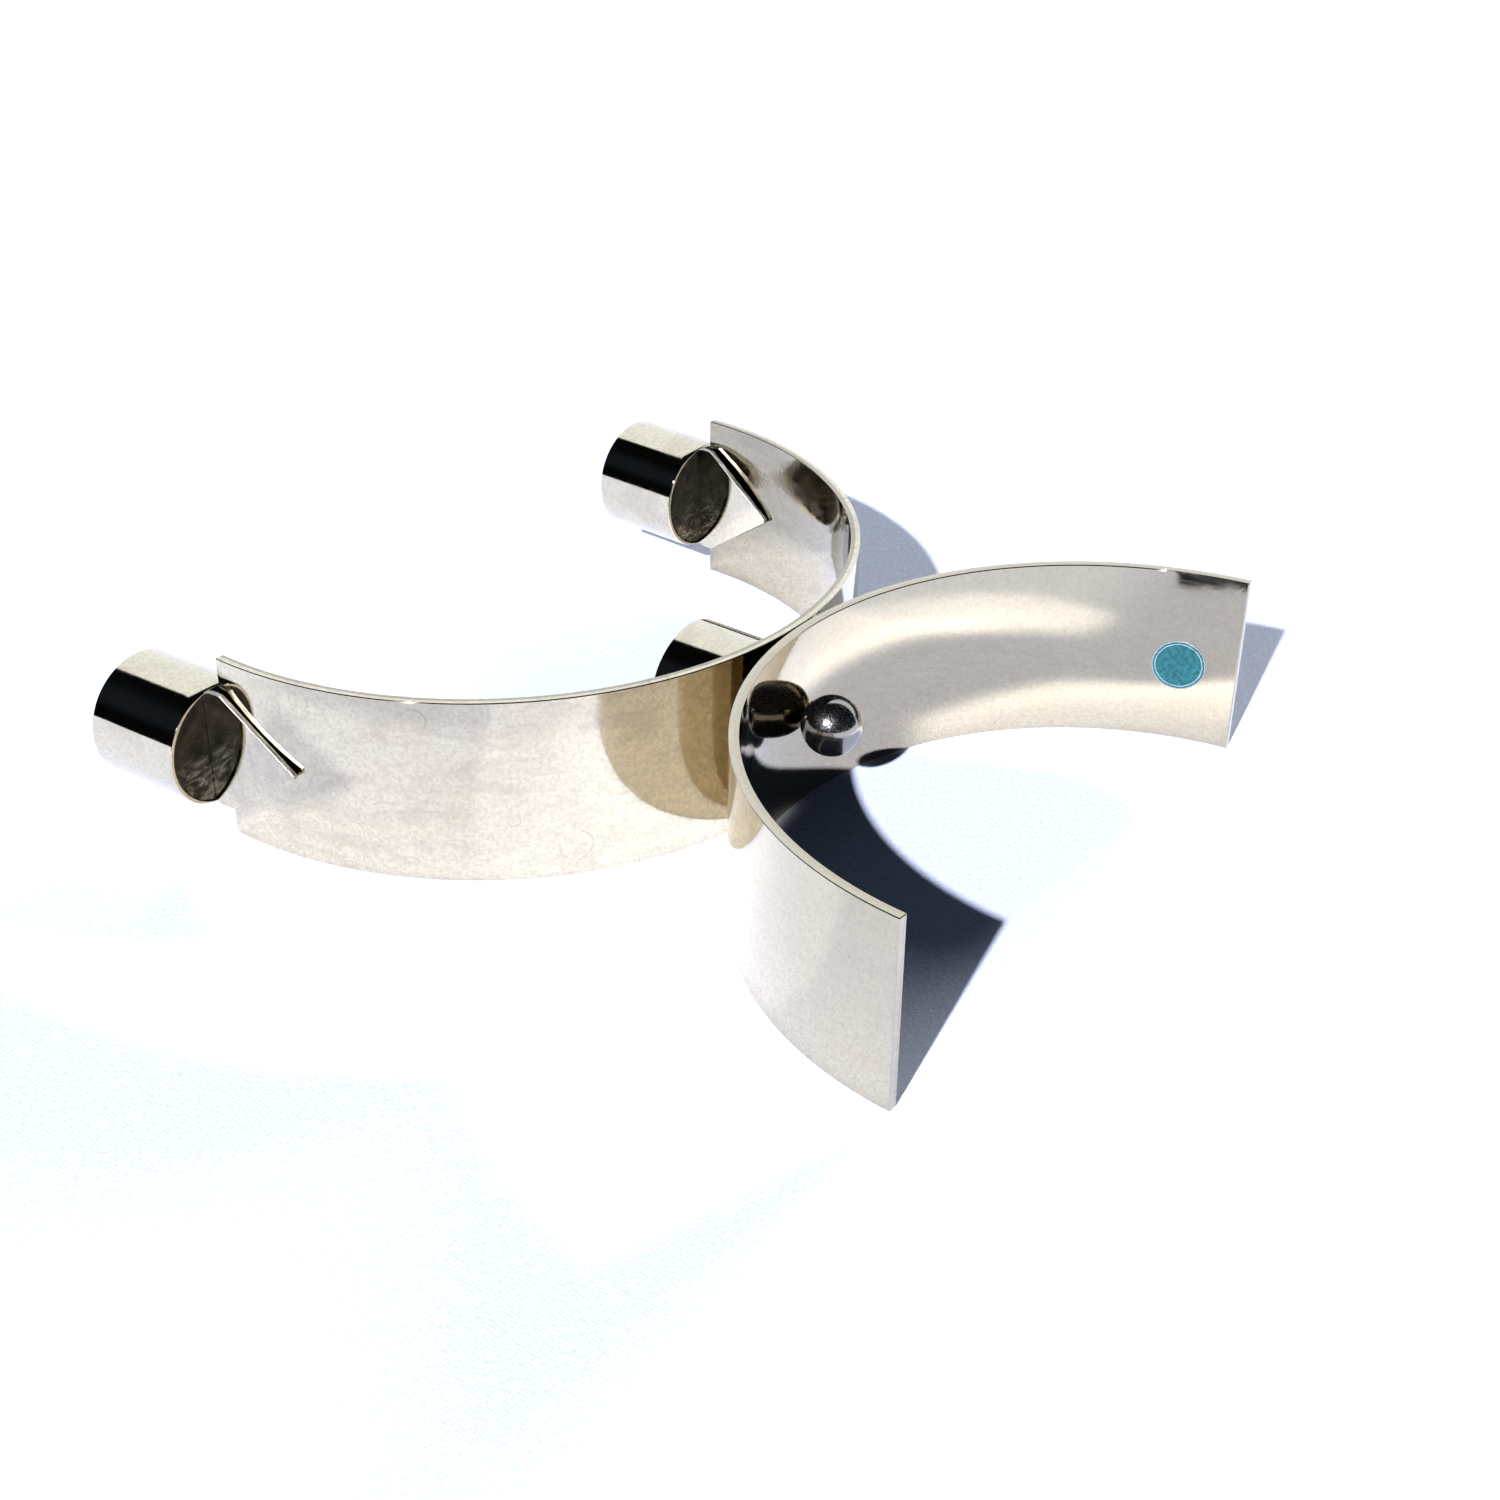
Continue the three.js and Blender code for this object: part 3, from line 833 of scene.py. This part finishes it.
def make_floor():
    """A pale cloth. Its middle is a grid that carries the light thrown by the bands."""
    n = Nodes("pale_cloth")
    here = n.node("TexCoord").outputs["Object"]
    weave = n.math("ADD", n.noise(n.place(here, scale=(1, 0.25, 1)), 2000.0, 2.0, 0.6),
                   n.noise(n.place(here, scale=(0.25, 1, 1)), 2000.0, 2.0, 0.6))
    cloth = n.mix(n.span(weave, 0.75, 1.2), rgb(0.73, 0.755, 0.83), rgb(0.87, 0.90, 0.98))
    n.feed(n.surface.inputs["Base Color"], cloth)
    thrown = n.node("Attribute", attribute_name="thrown").outputs["Fac"]
    n.feed(n.surface.inputs["Emission Color"], n.mix(1.0, cloth, rgb(1.0, 0.985, 0.975), "MULTIPLY"))
    glow = n.math("MULTIPLY", thrown, THROWN_SHARE * SUN_POWER / math.pi)
    n.feed(n.surface.inputs["Emission Strength"], glow)
    n.surface.inputs["Roughness"].default_value = 0.95
    n.surface.inputs["Specular IOR Level"].default_value = 0.1
    n.feed(n.surface.inputs["Normal"], n.bump(weave, 0.0002, 0.4))
    cells, nx, ny = thrown_light()
    points = [(GLINT_LOW[0] + GLINT_STEP * i, GLINT_LOW[1] + GLINT_STEP * k, 0)
              for k in range(ny) for i in range(nx)]
    faces = [(k * nx + i, k * nx + i + 1, (k + 1) * nx + i + 1, (k + 1) * nx + i)
             for k in range(ny - 1) for i in range(nx - 1)]
    half = 6.0
    rim = len(points)
    points += [(-half, -half, 0), (half, -half, 0), (half, half, 0), (-half, half, 0)]
    edges = ([i for i in range(nx)], [k * nx + nx - 1 for k in range(ny)],
             [(ny - 1) * nx + i for i in reversed(range(nx))], [k * nx for k in reversed(range(ny))])
    for side, edge in enumerate(edges):
        faces.append(tuple([rim + side, rim + (side + 1) % 4] + list(reversed(edge))))
    mesh = bpy.data.meshes.new("pale_floor")
    mesh.from_pydata(points, [], faces)
    layer = mesh.attributes.new("thrown", "FLOAT", "POINT")
    layer.data.foreach_set("value", list(cells.ravel()) + [0.0] * 4)
    mesh.materials.append(n.material)
    floor = bpy.data.objects.new("pale_floor", mesh)
    floor.location.z = cad_low.z - 0.00005
    bpy.context.scene.collection.objects.link(floor)


def make_light():
    """The key is a small bright sun. The fill is a low broad one from behind, which lights the cloth and
    other dull surfaces and doesn't show in the steel."""
    for name, way, power, width, colour in (("key", SUN_WAY, SUN_POWER, 1.4, (0.94, 1.0, 1.25)),
                                            ("fill", FILL_WAY, FILL_POWER, 24.0, (0.95, 1.0, 1.10))):
        data = bpy.data.lights.new(name, "SUN")
        data.energy = power
        data.angle = math.radians(width)
        data.color = colour
        lamp = bpy.data.objects.new(name, data)
        lamp.rotation_mode = "QUATERNION"
        lamp.rotation_quaternion = way.to_track_quat("-Z", "Y")
        lamp.visible_glossy = name == "key"
        bpy.context.scene.collection.objects.link(lamp)


def make_world():
    """What the steel shows is a tall pale backdrop behind the object and a dark room elsewhere. Dull
    surfaces get a dim even light, and the camera sees pale air."""
    world = bpy.data.worlds.new("studio")
    bpy.context.scene.world = world
    world.use_nodes = True
    tree = world.node_tree
    tree.nodes.clear()

    def node(kind, *values, **settings):
        made = tree.nodes.new("ShaderNode" + kind)
        for key, value in settings.items():
            setattr(made, key, value)
        for socket, value in zip(made.inputs, values):
            if isinstance(value, bpy.types.NodeSocket):
                tree.links.new(value, socket)
            elif value is not None:
                socket.default_value = value
        return made

    def step(value, low, high):
        return node("MapRange", value, low, high, 0.0, 1.0, interpolation_type="SMOOTHSTEP").outputs[0]

    def times(a, b):
        return node("Math", a, b, operation="MULTIPLY").outputs[0]

    def towards(direction):
        return node("VectorMath", way, direction, operation="DOT_PRODUCT").outputs["Value"]

    way = node("TexCoord").outputs["Generated"]
    height = node("SeparateXYZ", way).outputs[2]
    # the backdrop has an upright side, and a top that slants down to the right
    wall = times(step(towards((-0.19, 0.98, 0.0)), 0.14, 0.20),
                 step(towards((-0.617, 0.630, -0.472)), -0.02, 0.02))
    streak = times(step(height, 0.22, 0.42), step(height, 0.74, 0.55))
    room = node("Mix", streak, data_type="RGBA")
    room.inputs[6].default_value = (0.0026, 0.003, 0.0036, 1)
    room.inputs[7].default_value = (0.010, 0.016, 0.026, 1)
    lit = node("Mix", wall, data_type="RGBA")
    tree.links.new(room.outputs[2], lit.inputs[6])
    lit.inputs[7].default_value = (1.25, 1.36, 1.58, 1)
    path = node("LightPath").outputs
    soft = node("Mix", step(path["Diffuse Depth"], 0.4, 0.6), data_type="RGBA")
    tree.links.new(lit.outputs[2], soft.inputs[6])
    soft.inputs[7].default_value = (0.026, 0.035, 0.054, 1)
    seen = node("Mix", path["Is Camera Ray"], data_type="RGBA")
    tree.links.new(soft.outputs[2], seen.inputs[6])
    seen.inputs[7].default_value = (1.0, 1.0, 1.0, 1)
    back = node("Background", seen.outputs[2], 1.0)
    out = node("OutputWorld")
    tree.links.new(back.outputs[0], out.inputs["Surface"])


make_floor()
make_light()
make_world()
bpy.context.scene.view_settings.view_transform = "Standard"
bpy.context.scene.cycles.caustics_reflective = False  # thrown_light stands in for them
